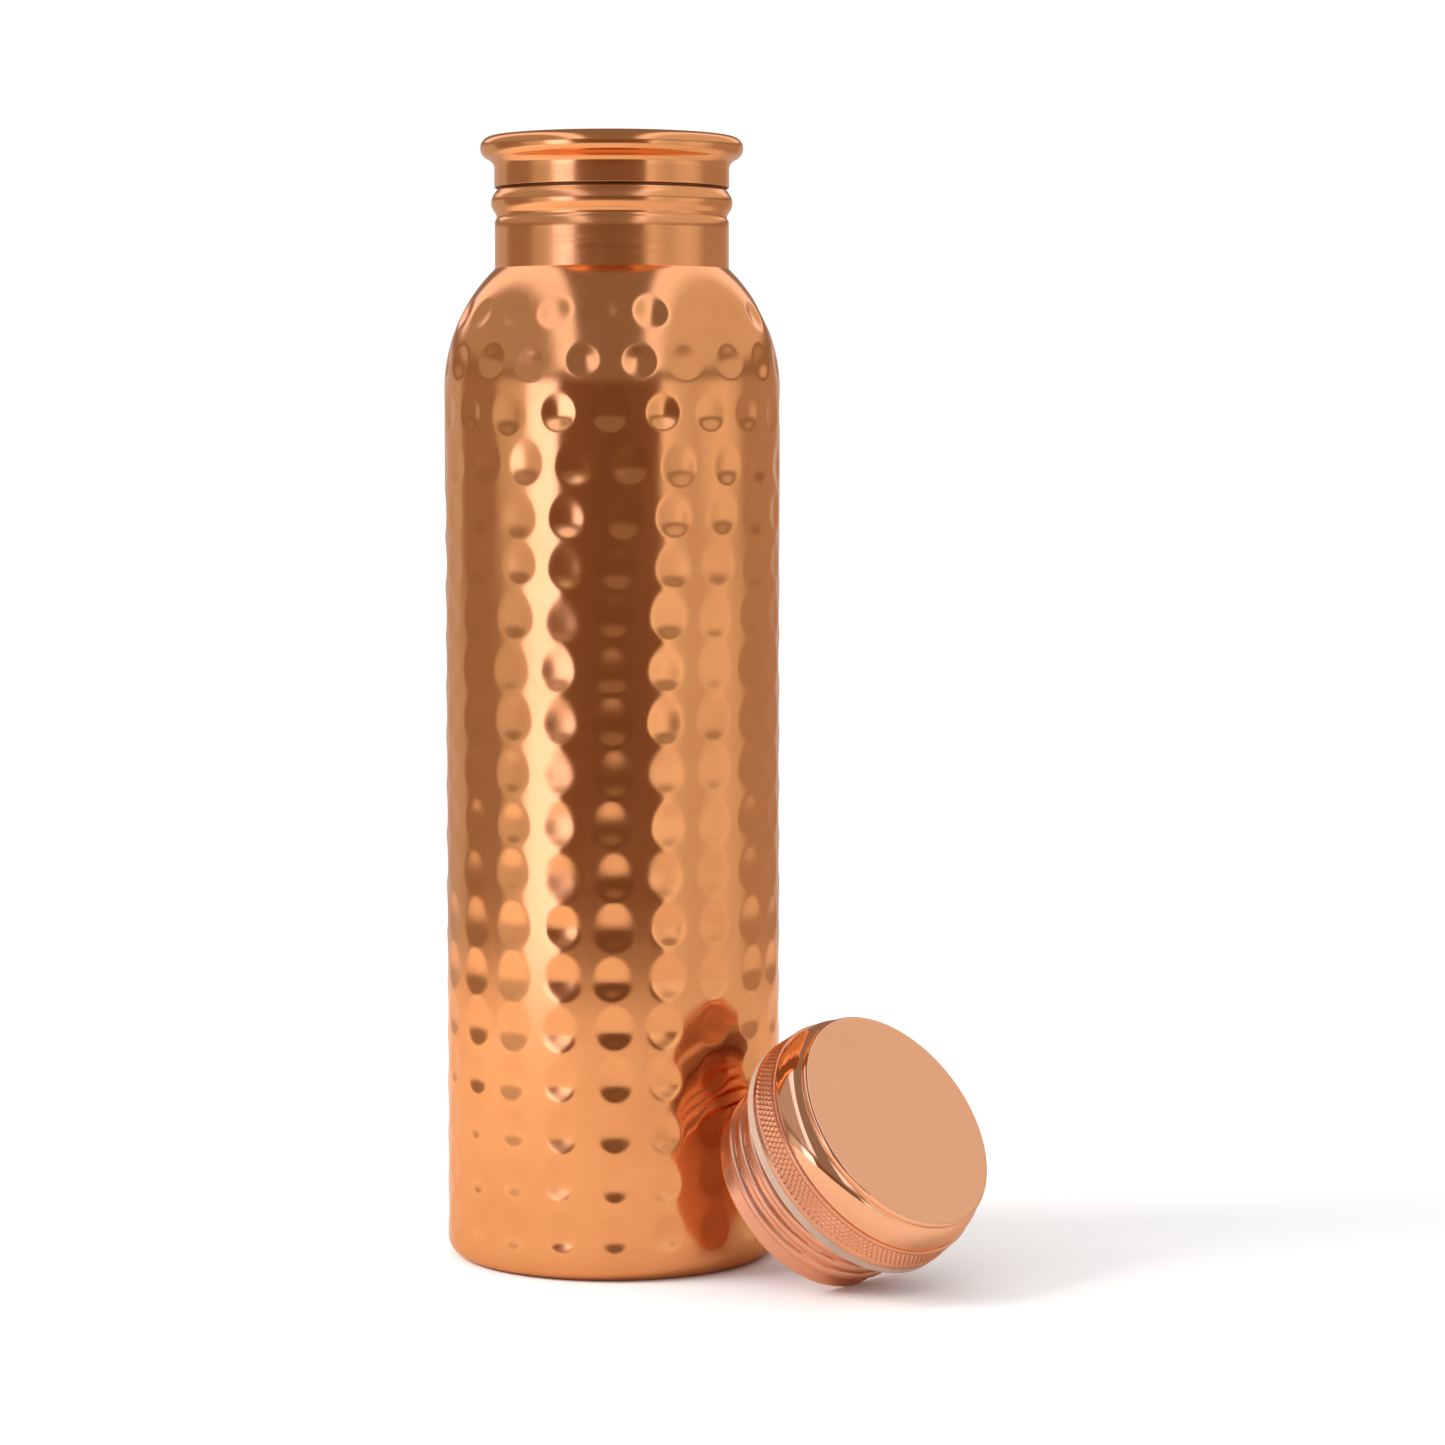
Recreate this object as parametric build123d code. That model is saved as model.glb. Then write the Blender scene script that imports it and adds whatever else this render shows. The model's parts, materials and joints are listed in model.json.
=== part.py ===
"""Hammered copper water bottle with its screw cap off and leaning on it. Millimetres, +Z up.

The bottle stands on z = 0 with its axis on Z. The cap is drawn upright on its own axis with the plug's
end at zero, then tipped over and set down beside the bottle.
"""

import os
from math import acos, asin, cos, degrees, radians, sin, sqrt

from build123d import *

# Body
BODY_RADIUS = 37.0
BODY_STRAIGHT_TOP = 192.0
BODY_WALL = 0.7
FOOT_ROUND = 4.0
STAND_WIDTH = 1.0
FOOT_INNER_ROUND = 1.3
FOOT_LIP_HEIGHT = 5.0

# Hammer dents in the body and the lower shoulder
DENT_COLUMNS = 20
DENT_PITCH = 11.05
DENT_FIRST = 10.0
DENT_BARE_TOP = 12.0
DENT_DEPTH = 0.45
DENT_HAMMER_RADIUS = 20.0
DENT_TOOL_RADIUS = 4.6
STAGGERED_ROWS = 2

# Base pan, brazed inside the folded foot
PAN_WALL = 0.9
PAN_RECESS = 3.0
PAN_RIM_DROP = 1.6

# Neck
NECK_RADIUS = 25.75
NECK_WALL = 0.6
NECK_LENGTH = 17.0
NECK_LAP = 3.0
BEAD_BELOW_COLLAR = 2.6
BEAD_PROUD = 0.8
BEAD_HALF_WIDTH = 1.5
NOTCH_BELOW_COLLAR = 5.4
NOTCH_DEPTH = 0.4
NOTCH_HALF_WIDTH = 1.0

# Mouth ring, a turned collar with a flared round lip
RING_HEIGHT = 11.8
COLLAR_HEIGHT = 5.1
COLLAR_PROUD = 0.07
SEAM_DEPTH = 0.6
SEAM_HEIGHT = 0.7
LIP_ROUND = 2.5
LIP_OVERHANG = 3.1
FLARE_END_ANGLE = -62.0
FLARE_MIDDLE_OUT = 0.3
FLARE_MIDDLE_UP = 0.55

# Screw thread, shared by the plug and the sleeve in the mouth
THREAD_PITCH = 3.2
THREAD_ROUND = 1.1
THREAD_DEPTH = 0.8
THREAD_GAP = 0.35
PLUG_THREAD_START = 2.4
PLUG_THREAD_RUNOUT = 1.74
SLEEVE_WALL = 1.4
SLEEVE_BELOW_LIP = 2.0
SLEEVE_LAND = 3.0
SLEEVE_TURNS = 4.2

# Cap
PLUG_WALL = 0.7
PLUG_END_ROUND = 0.8
PLUG_LENGTH = 15.8
PLUG_FLANGE = 1.0
GASKET_THICKNESS = 2.1
GASKET_GAP = 0.35
GASKET_INSET = 0.15
GASKET_ROUND = 0.4
KNURL_PROUD = 5.0
KNURL_HEIGHT = 6.5
KNURL_TAPER = 0.5
KNURL_CHAMFER = 0.3
KNURL_WEB = 1.0
SKIRT_SETBACK = 0.8
COVER_WALL = 0.7
BAND_SETBACK = 1.0
BAND_HEIGHT = 5.7
BAND_BULGE_RISE = 3.7
BAND_BULGE_SETBACK = 0.8
PINCH_SETBACK = 2.5
RIM_PROUD = 0.5
RIM_HEIGHT = 1.9
RIM_START_ANGLE = -40.0

# How the loose cap lies: the tilt of its axis, which way it faces, which side of the bottle it is on
CAP_TILT = 35.5
CAP_HEADING = -42.0
CAP_BEARING = -36.0
CAP_WALL_GAP = 0.4
EDGE_STEPS = 72

# Sizes that follow from the ones above
NECK_FOOT = BODY_STRAIGHT_TOP + sqrt(BODY_RADIUS**2 - NECK_RADIUS**2)
COLLAR_FOOT = NECK_FOOT + NECK_LENGTH
LIP_TOP = COLLAR_FOOT + RING_HEIGHT
NECK_BORE = NECK_RADIUS - NECK_WALL
FOOT_LIP_BORE = BODY_RADIUS - FOOT_ROUND - STAND_WIDTH - FOOT_INNER_ROUND
SLEEVE_BORE = NECK_BORE - SLEEVE_WALL
PLUG_RADIUS = SLEEVE_BORE - THREAD_GAP
THREAD_CREST = PLUG_RADIUS + THREAD_DEPTH
PLUG_THREAD_RISE = PLUG_LENGTH - PLUG_THREAD_START - THREAD_ROUND - PLUG_THREAD_RUNOUT
PLUG_THREAD_TURNS = PLUG_THREAD_RISE / THREAD_PITCH
SLEEVE_TOP = LIP_TOP - SLEEVE_BELOW_LIP
SLEEVE_FOOT = SLEEVE_TOP - SLEEVE_LAND - THREAD_PITCH * SLEEVE_TURNS
KNURL_FOOT = PLUG_LENGTH + GASKET_THICKNESS
KNURL_TOP = KNURL_FOOT + KNURL_HEIGHT
WEB_TOP = KNURL_FOOT + KNURL_WEB
KNURL_RADIUS = PLUG_RADIUS + KNURL_PROUD
BAND_RADIUS = KNURL_RADIUS - BAND_SETBACK
SKIRT_RADIUS = BAND_RADIUS - SKIRT_SETBACK
SKIRT_BORE = SKIRT_RADIUS - COVER_WALL
CAP_TOP = KNURL_TOP + BAND_HEIGHT + RIM_HEIGHT


def spin(*edges):
    """Turn a closed outline, given edge by edge in the XZ plane, once round Z."""
    return revolve(make_face(Plane.XZ * Curve(edges)), Axis.Z)


def disc_of(radius, bottom, top):
    """A plain disc between two heights."""
    return Pos(0, 0, bottom) * Cylinder(radius, top - bottom, align=(Align.CENTER, Align.CENTER, Align.MIN))


def ring_of(outer, inner, bottom, top):
    """A plain ring between two radii and two heights."""
    return disc_of(outer, bottom, top) - disc_of(inner, bottom, top)


def corner_arc(centre, radius, start, end):
    """A round corner, given by the directions in degrees where it starts and ends."""
    points = []
    for angle in (start, (start + end) / 2, end):
        a = radians(angle)
        points.append((centre[0] + radius * cos(a), centre[1] + radius * sin(a)))
    return ThreePointArc(*points)


def coil(wire_radius, bottom, turns):
    """A round wire wound up the shared thread line."""
    path = Helix(THREAD_PITCH, THREAD_PITCH * turns, THREAD_CREST - THREAD_ROUND)
    section = Plane(path @ 0, z_dir=path % 0) * Circle(wire_radius)
    return Pos(0, 0, bottom) * sweep(section, path=path, is_frenet=True)


def neck_angle(ball_radius):
    """How far up a ball of the given radius, in degrees, the neck leaves it."""
    return degrees(acos(NECK_RADIUS / ball_radius))


def body_blank():
    """Drawn body: folded foot, straight wall and ball-shaped shoulder, before hammering."""
    bore = BODY_RADIUS - BODY_WALL
    stand_outer = BODY_RADIUS - FOOT_ROUND
    stand_inner = stand_outer - STAND_WIDTH
    fold_bore = FOOT_LIP_BORE + BODY_WALL
    centre = (0, BODY_STRAIGHT_TOP)
    outer = corner_arc(centre, BODY_RADIUS, 0, neck_angle(BODY_RADIUS))
    inner = corner_arc(centre, bore, 0, neck_angle(bore))
    return spin(
        Line((FOOT_LIP_BORE, FOOT_LIP_HEIGHT), (FOOT_LIP_BORE, FOOT_INNER_ROUND)),
        corner_arc((stand_inner, FOOT_INNER_ROUND), FOOT_INNER_ROUND, 180, 270),
        Line((stand_inner, 0), (stand_outer, 0)),
        corner_arc((stand_outer, FOOT_ROUND), FOOT_ROUND, -90, 0),
        Line((BODY_RADIUS, FOOT_ROUND), (BODY_RADIUS, BODY_STRAIGHT_TOP)),
        outer,
        Line(outer @ 1, inner @ 1),
        inner,
        Line((bore, BODY_STRAIGHT_TOP), (bore, FOOT_ROUND)),
        corner_arc((stand_outer, FOOT_ROUND), FOOT_ROUND - BODY_WALL, -90, 0),
        Line((stand_outer, BODY_WALL), (stand_inner, BODY_WALL)),
        corner_arc((stand_inner, FOOT_INNER_ROUND), FOOT_INNER_ROUND - BODY_WALL, 180, 270),
        Line((fold_bore, FOOT_INNER_ROUND), (fold_bore, FOOT_LIP_HEIGHT)),
        Line((fold_bore, FOOT_LIP_HEIGHT), (FOOT_LIP_BORE, FOOT_LIP_HEIGHT)),
    )


def hammer_tool():
    """The piece of a round hammer face that sinks into the wall, pointing along -X."""
    middle = (DENT_HAMMER_RADIUS - DENT_DEPTH, 0)
    half_spread = degrees(asin(DENT_TOOL_RADIUS / DENT_HAMMER_RADIUS))
    face = corner_arc(middle, DENT_HAMMER_RADIUS, 180, 180 - half_spread)
    back = (face @ 1).X
    outline = Curve([
        face,
        Line(face @ 1, (back, 0)),
        Line((back, 0), face @ 0),
    ])
    return revolve(make_face(outline), Axis.X)


def dent_places():
    """Every dent's frame, row by row up the wall and over onto the shoulder."""
    shoulder_run = BODY_RADIUS * radians(neck_angle(BODY_RADIUS))
    run = BODY_STRAIGHT_TOP + shoulder_run - DENT_BARE_TOP - DENT_FIRST
    rows = int(run / DENT_PITCH) + 1
    step = 360 / DENT_COLUMNS
    places = []
    for row in range(rows):
        along = DENT_FIRST + row * DENT_PITCH
        height = min(along, BODY_STRAIGHT_TOP)
        lean = degrees((along - height) / BODY_RADIUS)
        offset = step / 2 if row >= rows - STAGGERED_ROWS else 0
        for column in range(DENT_COLUMNS):
            turn = Pos(0, 0, height) * Rot(0, 0, column * step + offset) * Rot(0, -lean, 0)
            places.append(turn * Pos(BODY_RADIUS, 0, 0))
    return places


def make_body_shell():
    """Body with its hammer dents."""
    tool = hammer_tool()
    dents = [place * tool for place in dent_places()]
    return body_blank() - dents


def make_base_pan():
    """Flat pan set up inside the foot, with a short rim turned down."""
    floor = disc_of(FOOT_LIP_BORE, PAN_RECESS, PAN_RECESS + PAN_WALL)
    rim = ring_of(FOOT_LIP_BORE, FOOT_LIP_BORE - PAN_WALL, PAN_RECESS - PAN_RIM_DROP, PAN_RECESS)
    return floor + rim


def make_neck_tube():
    """Smooth neck with a pressed notch and a raised bead under the mouth ring."""
    foot = NECK_FOOT - NECK_LAP
    notch = COLLAR_FOOT - NOTCH_BELOW_COLLAR
    bead = COLLAR_FOOT - BEAD_BELOW_COLLAR
    return spin(
        Line((NECK_BORE, foot), (NECK_RADIUS, foot)),
        Line((NECK_RADIUS, foot), (NECK_RADIUS, notch - NOTCH_HALF_WIDTH)),
        ThreePointArc(
            (NECK_RADIUS, notch - NOTCH_HALF_WIDTH),
            (NECK_RADIUS - NOTCH_DEPTH, notch),
            (NECK_RADIUS, notch + NOTCH_HALF_WIDTH),
        ),
        Line((NECK_RADIUS, notch + NOTCH_HALF_WIDTH), (NECK_RADIUS, bead - BEAD_HALF_WIDTH)),
        ThreePointArc(
            (NECK_RADIUS, bead - BEAD_HALF_WIDTH),
            (NECK_RADIUS + BEAD_PROUD, bead),
            (NECK_RADIUS, bead + BEAD_HALF_WIDTH),
        ),
        Line((NECK_RADIUS, bead + BEAD_HALF_WIDTH), (NECK_RADIUS, COLLAR_FOOT)),
        Line((NECK_RADIUS, COLLAR_FOOT), (NECK_BORE, COLLAR_FOOT)),
        Line((NECK_BORE, COLLAR_FOOT), (NECK_BORE, foot)),
    )


def make_mouth_ring():
    """Turned ring brazed on the neck: seam groove, collar, flare and round lip."""
    collar = NECK_RADIUS + COLLAR_PROUD
    seam = COLLAR_FOOT + SEAM_HEIGHT
    seam_radius = collar - SEAM_DEPTH
    flare_foot = COLLAR_FOOT + COLLAR_HEIGHT
    lip_centre = (collar + LIP_OVERHANG - LIP_ROUND, LIP_TOP - LIP_ROUND)
    inner_round = lip_centre[0] - NECK_BORE
    lip = corner_arc(lip_centre, LIP_ROUND, FLARE_END_ANGLE, 90)
    flare_end = lip @ 0
    flare_middle = (
        collar + FLARE_MIDDLE_OUT * (flare_end.X - collar),
        flare_foot + FLARE_MIDDLE_UP * (flare_end.Y - flare_foot),
    )
    return spin(
        Line((NECK_BORE, COLLAR_FOOT), (seam_radius, COLLAR_FOOT)),
        Line((seam_radius, COLLAR_FOOT), (seam_radius, seam)),
        Line((seam_radius, seam), (collar, seam)),
        Line((collar, seam), (collar, flare_foot)),
        ThreePointArc((collar, flare_foot), flare_middle, flare_end),
        lip,
        corner_arc((lip_centre[0], LIP_TOP - inner_round), inner_round, 90, 180),
        Line((NECK_BORE, LIP_TOP - inner_round), (NECK_BORE, COLLAR_FOOT)),
    )


def make_thread_sleeve():
    """Sleeve inside the mouth with the female thread and a plain land below it."""
    groove_round = THREAD_ROUND + THREAD_GAP
    bore = disc_of(SLEEVE_BORE, SLEEVE_FOOT - THREAD_PITCH, SLEEVE_TOP + 2 * THREAD_PITCH)
    groove = coil(groove_round, SLEEVE_FOOT + SLEEVE_LAND + groove_round, SLEEVE_TURNS + 1)
    return disc_of(NECK_BORE, SLEEVE_FOOT, SLEEVE_TOP) - (bore + groove)


def make_cap_plug():
    """Hollow plug, closed at its end, with a rolled thread outside and a flange on top."""
    flange_top = WEB_TOP + PLUG_FLANGE
    bore = PLUG_RADIUS - PLUG_WALL
    end_centre = (PLUG_RADIUS - PLUG_END_ROUND, PLUG_END_ROUND)
    blank = spin(
        Line((0, 0), (end_centre[0], 0)),
        corner_arc(end_centre, PLUG_END_ROUND, -90, 0),
        Line((PLUG_RADIUS, PLUG_END_ROUND), (PLUG_RADIUS, WEB_TOP)),
        Line((PLUG_RADIUS, WEB_TOP), (SKIRT_BORE, WEB_TOP)),
        Line((SKIRT_BORE, WEB_TOP), (SKIRT_BORE, flange_top)),
        Line((SKIRT_BORE, flange_top), (0, flange_top)),
        Line((0, flange_top), (0, 0)),
    )
    thread = coil(THREAD_ROUND, PLUG_THREAD_START, PLUG_THREAD_TURNS)
    return blank + thread - disc_of(bore, PLUG_WALL, flange_top)


def make_cap_gasket():
    """Flat sealing washer between the knurled ring and the bottle's lip."""
    outer = KNURL_RADIUS - GASKET_INSET
    washer = ring_of(outer, PLUG_RADIUS + GASKET_GAP, PLUG_LENGTH, KNURL_FOOT)
    rims = washer.edges().filter_by(GeomType.CIRCLE).group_by(SortBy.RADIUS)[-1]
    return fillet(rims, GASKET_ROUND)


def make_knurled_ring():
    """Ring the fingers grip, slightly wider at the gasket, with a web that holds the plug's flange."""
    top_radius = KNURL_RADIUS - KNURL_TAPER
    return spin(
        Line((PLUG_RADIUS, KNURL_FOOT), (KNURL_RADIUS - KNURL_CHAMFER, KNURL_FOOT)),
        Line((KNURL_RADIUS - KNURL_CHAMFER, KNURL_FOOT), (KNURL_RADIUS, KNURL_FOOT + KNURL_CHAMFER)),
        Line((KNURL_RADIUS, KNURL_FOOT + KNURL_CHAMFER), (top_radius, KNURL_TOP - KNURL_CHAMFER)),
        Line((top_radius, KNURL_TOP - KNURL_CHAMFER), (top_radius - KNURL_CHAMFER, KNURL_TOP)),
        Line((top_radius - KNURL_CHAMFER, KNURL_TOP), (SKIRT_RADIUS, KNURL_TOP)),
        Line((SKIRT_RADIUS, KNURL_TOP), (SKIRT_RADIUS, WEB_TOP)),
        Line((SKIRT_RADIUS, WEB_TOP), (PLUG_RADIUS, WEB_TOP)),
        Line((PLUG_RADIUS, WEB_TOP), (PLUG_RADIUS, KNURL_FOOT)),
    )


def make_cap_cover():
    """Pressed cover: flat top, round rim, pinched waist and a bulged band, with a skirt below."""
    rim_round = RIM_HEIGHT / 2
    pinch_radius = BAND_RADIUS - PINCH_SETBACK
    rim_centre = (pinch_radius + RIM_PROUD - rim_round, CAP_TOP - rim_round)
    rim = corner_arc(rim_centre, rim_round, RIM_START_ANGLE, 90)
    pinch = (pinch_radius, CAP_TOP - RIM_HEIGHT)
    bulge = (BAND_RADIUS - BAND_BULGE_SETBACK, KNURL_TOP + BAND_BULGE_RISE)
    bore_top = CAP_TOP - COVER_WALL
    crown_bore = pinch_radius - COVER_WALL
    crown_foot = bulge[1] - BAND_BULGE_SETBACK
    return spin(
        Line((SKIRT_BORE, WEB_TOP), (SKIRT_RADIUS, WEB_TOP)),
        Line((SKIRT_RADIUS, WEB_TOP), (SKIRT_RADIUS, KNURL_TOP)),
        Line((SKIRT_RADIUS, KNURL_TOP), (BAND_RADIUS, KNURL_TOP)),
        ThreePointArc((BAND_RADIUS, KNURL_TOP), bulge, pinch),
        Line(pinch, rim @ 0),
        rim,
        Line(rim @ 1, (0, CAP_TOP)),
        Line((0, CAP_TOP), (0, bore_top)),
        Line((0, bore_top), (crown_bore, bore_top)),
        Line((crown_bore, bore_top), (crown_bore, pinch[1])),
        Line((crown_bore, pinch[1]), (SKIRT_BORE, crown_foot)),
        Line((SKIRT_BORE, crown_foot), (SKIRT_BORE, WEB_TOP)),
    )


def lean_distance():
    """How far out the plug's end has to be for its round edge to clear the wall by the gap."""
    tilt = radians(CAP_TILT)
    heading = radians(CAP_HEADING)
    bearing = radians(CAP_BEARING)
    edge = PLUG_RADIUS - PLUG_END_ROUND
    reach = BODY_RADIUS + CAP_WALL_GAP + PLUG_END_ROUND
    distances = []
    for step in range(EDGE_STEPS):
        turn = radians(360 * step / EDGE_STEPS)
        ahead = edge * cos(turn) * sin(tilt) + PLUG_END_ROUND * cos(tilt)
        aside = edge * sin(turn)
        swing = heading - bearing
        outward = ahead * cos(swing) - aside * sin(swing)
        across = ahead * sin(swing) + aside * cos(swing)
        if abs(across) < reach:
            distances.append(sqrt(reach**2 - across**2) - outward)
    return max(distances)


def cap_place():
    """The cap's own frame when it leans on the bottle with its plug's end edge on the ground."""
    tilt = radians(CAP_TILT)
    bearing = radians(CAP_BEARING)
    edge = PLUG_RADIUS - PLUG_END_ROUND
    rise = edge * cos(tilt) + PLUG_END_ROUND * (1 - sin(tilt))
    out = lean_distance()
    spot = Pos(out * cos(bearing), out * sin(bearing), rise)
    return spot * Rot(0, 0, CAP_HEADING) * Rot(0, 90 - CAP_TILT, 0)


def main():
    """Build every piece and write it out."""
    bottle = {
        "body_shell": make_body_shell(),
        "base_pan": make_base_pan(),
        "neck_tube": make_neck_tube(),
        "mouth_ring": make_mouth_ring(),
        "thread_sleeve": make_thread_sleeve(),
    }
    cap = {
        "cap_cover": make_cap_cover(),
        "knurled_ring": make_knurled_ring(),
        "cap_gasket": make_cap_gasket(),
        "cap_plug": make_cap_plug(),
    }
    place = cap_place()
    pieces = dict(bottle)
    for name, piece in cap.items():
        pieces[name] = place * piece
    os.makedirs("parts", exist_ok=True)
    for name, piece in pieces.items():
        export_step(piece, f"parts/{name}.step")


main()
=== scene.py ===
import json
import random
from math import acos, asin, atan2, ceil, cos, hypot, pi, radians, sin, sqrt, tau

import bmesh
import bpy
import numpy as np
from bpy.props import FloatProperty, FloatVectorProperty, IntProperty, PointerProperty
from bpy.types import Operator, Panel, PropertyGroup
from mathutils import Matrix, Vector


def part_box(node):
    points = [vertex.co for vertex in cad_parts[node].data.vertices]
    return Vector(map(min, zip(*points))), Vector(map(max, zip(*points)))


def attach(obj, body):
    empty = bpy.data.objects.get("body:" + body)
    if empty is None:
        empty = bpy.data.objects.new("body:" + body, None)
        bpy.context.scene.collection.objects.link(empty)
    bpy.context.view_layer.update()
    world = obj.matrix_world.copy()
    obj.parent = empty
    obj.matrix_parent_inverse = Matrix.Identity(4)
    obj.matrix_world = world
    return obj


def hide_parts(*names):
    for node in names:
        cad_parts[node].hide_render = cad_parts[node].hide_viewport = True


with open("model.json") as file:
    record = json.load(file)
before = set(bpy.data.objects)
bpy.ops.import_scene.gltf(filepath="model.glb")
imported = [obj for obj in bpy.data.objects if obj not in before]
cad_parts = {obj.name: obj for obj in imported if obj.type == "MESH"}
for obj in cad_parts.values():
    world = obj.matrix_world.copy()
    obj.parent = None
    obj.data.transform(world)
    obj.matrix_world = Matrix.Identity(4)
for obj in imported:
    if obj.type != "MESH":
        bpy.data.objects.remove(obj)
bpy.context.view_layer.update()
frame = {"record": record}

bl_info = {
    "name": "Hammered Copper Bottle",
    "version": (1, 0, 0),
    "blender": (4, 5, 0),
    "location": "3D View > Sidebar > Bottle",
    "description": "Builds a hammered copper water bottle with its screw cap off, and its stage",
    "category": "Object",
}

# ---------------------------------------------------------------- sizes read from the frame, in metres

BODY_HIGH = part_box("body_shell")[1]
NECK_LOW, NECK_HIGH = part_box("neck_tube")
MOUTH_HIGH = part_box("mouth_ring")[1]
SLEEVE_LOW, SLEEVE_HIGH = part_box("thread_sleeve")
PAN_LOW, PAN_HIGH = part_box("base_pan")

BODY_INSET = 0.000001
BODY_RADIUS = BODY_HIGH[0] - BODY_INSET
NECK_FOOT = BODY_HIGH[2]
COLLAR_FOOT = NECK_HIGH[2]
LIP_TOP = MOUTH_HIGH[2]
LIP_RADIUS = MOUTH_HIGH[0]
NECK_BORE = SLEEVE_HIGH[0]
FOOT_BORE = PAN_HIGH[0]

# ---------------------------------------------------------------- sizes of the pieces, in metres

BODY_WALL = 0.0007
FOOT_ROUND = 0.0040
FOOT_INNER_ROUND = 0.0013
FOOT_LIP_HEIGHT = 0.0050
NECK_RADIUS = 0.02575
STRAIGHT_TOP = NECK_FOOT - sqrt(BODY_RADIUS**2 - NECK_RADIUS**2)
INSIDE_STEP = 0.0018
PAN_WALL = 0.0009
PAN_DISH = 0.00035
PAN_INNER_ROUND = 0.0007
PAN_EDGE_ROUND = 0.0003
PAN_FLAT_RIM = 0.0012
DENT_SOFTNESS = 1.6
DENT_DEPTH_SPREAD = (0.82, 1.14)
DENT_WIDTH_SPREAD = (0.95, 1.06)
DENT_HEIGHT_SPREAD = (0.94, 1.06)
DENT_DRAWN_UP = 1.42
DENT_TOP_ROWS = 6
DENT_TOP_DEEPER = 0.35
DENT_TOP_SMALLER = 0.14
DENT_LOW_SIZE = 0.84
DENT_GROWN_AT = 0.6
# How far each row is turned, from the top row down, as a share of the spacing round the body.
ROW_DRIFTS = (-0.19, 0.45, -0.05, 0.32, 0.18, 0.13, 0.05, 0.0)
FLATS_BARE_ROWS = 3.0
FLATS_GROWING_ROWS = 2.5
FLATS_FOOT = 0.003
FLATS_FOOT_FADE = 0.010

BEAD_BELOW_COLLAR = 0.0026
BEAD_PROUD = 0.0008
BEAD_HALF_WIDTH = 0.0021
NOTCH_BELOW_COLLAR = 0.0057
NOTCH_DEPTH = 0.0004
NOTCH_HALF_WIDTH = 0.0010
NECK_TOP_TAPER = 0.0003

COLLAR_PROUD = 0.00007
COLLAR_HEIGHT = 0.0051
SEAM_DEPTH = 0.0006
SEAM_HEIGHT = 0.0007
SEAM_EDGE_ROUND = 0.00018
LIP_ROUND = 0.0025
FLARE_END_ANGLE = -62.0

THREAD_PITCH = 0.0032
THREAD_ROUND = 0.0011
THREAD_DEPTH = 0.0008
THREAD_GAP = 0.00035
THREAD_FADE_TURNS = 0.18
THREAD_FOOT_EASE = 2.5e-9
PLUG_THREAD_START = 0.0024
PLUG_THREAD_TURNS = 3.3
SLEEVE_LAND = 0.0030
SLEEVE_THREAD_TURNS = 9.0
SLEEVE_EDGE_ROUND = 0.0003

PLUG_RADIUS = 0.0234
PLUG_WALL = 0.0007
PLUG_END_ROUND = 0.0008
PLUG_LENGTH = 0.0158
PLUG_FLANGE = 0.0010
GASKET_THICKNESS = 0.0021
GASKET_GAP = 0.00035
GASKET_INSET = 0.00015
KNURL_RADIUS = 0.0284
KNURL_HEIGHT = 0.0065
KNURL_TAPER = 0.0005
KNURL_CHAMFER = 0.0003
KNURL_INSET = 0.00005
KNURL_WEB = 0.0010
KNURL_LOW_MARGIN = 0.0010
KNURL_HIGH_MARGIN = 0.0007
KNURL_PLAIN_STEP = 0.0002
KNURL_SHARPNESS = 1.25
KNURL_FADE_ROWS = 0.3
SKIRT_SETBACK = 0.0008
COVER_WALL = 0.0007
COVER_INSET = 0.00002
BAND_RADIUS = 0.0274
BAND_HEIGHT = 0.0057
PINCH_SETBACK = 0.0025
RIM_PROUD = 0.0005
RIM_HEIGHT = 0.0019

KNURL_FOOT = PLUG_LENGTH + GASKET_THICKNESS
KNURL_TOP = KNURL_FOOT + KNURL_HEIGHT
KNURL_LOW = KNURL_FOOT + KNURL_LOW_MARGIN
KNURL_HIGH = KNURL_TOP - KNURL_HIGH_MARGIN
WEB_TOP = KNURL_FOOT + KNURL_WEB
CAP_TOP = KNURL_TOP + BAND_HEIGHT + RIM_HEIGHT
SKIRT_RADIUS = BAND_RADIUS - SKIRT_SETBACK
SKIRT_BORE = SKIRT_RADIUS - COVER_WALL


def cap_frame():
    """Matrix that lays a cap drawn upright, plug end at zero, where the cap really lies."""
    joints = {joint["name"]: joint for joint in frame["record"]["behaviour"]["joints"]}
    turn = joints["cap_turn"]
    x, y, z = turn["axis"]
    heading = Matrix.Rotation(atan2(y, x), 4, "Z")
    return Matrix.Translation(turn["pos_m"]) @ heading @ Matrix.Rotation(pi / 2 - asin(z), 4, "Y")


# ---------------------------------------------------------------- outlines


def arc(centre, radius, start, end, steps):
    """Points round part of a circle, between two directions in degrees."""
    points = []
    for i in range(steps + 1):
        a = radians(start + (end - start) * i / steps)
        points.append((centre[0] + radius * cos(a), centre[1] + radius * sin(a)))
    return points


def bow(start, middle, end, steps):
    """Points on a smooth bowed line that passes through its middle point."""
    handle = [2 * middle[k] - (start[k] + end[k]) / 2 for k in (0, 1)]
    points = []
    for i in range(steps + 1):
        t = i / steps
        weights = ((1 - t) ** 2, 2 * t * (1 - t), t**2)
        points.append(tuple(
            weights[0] * start[k] + weights[1] * handle[k] + weights[2] * end[k] for k in (0, 1)
        ))
    return points


def straight(start, end, longest):
    """Points on a straight line, none further apart than the longest step."""
    run = sqrt((end[0] - start[0]) ** 2 + (end[1] - start[1]) ** 2)
    steps = max(1, ceil(run / longest))
    points = []
    for i in range(steps + 1):
        t = i / steps
        points.append((start[0] + t * (end[0] - start[0]), start[1] + t * (end[1] - start[1])))
    return points


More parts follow.
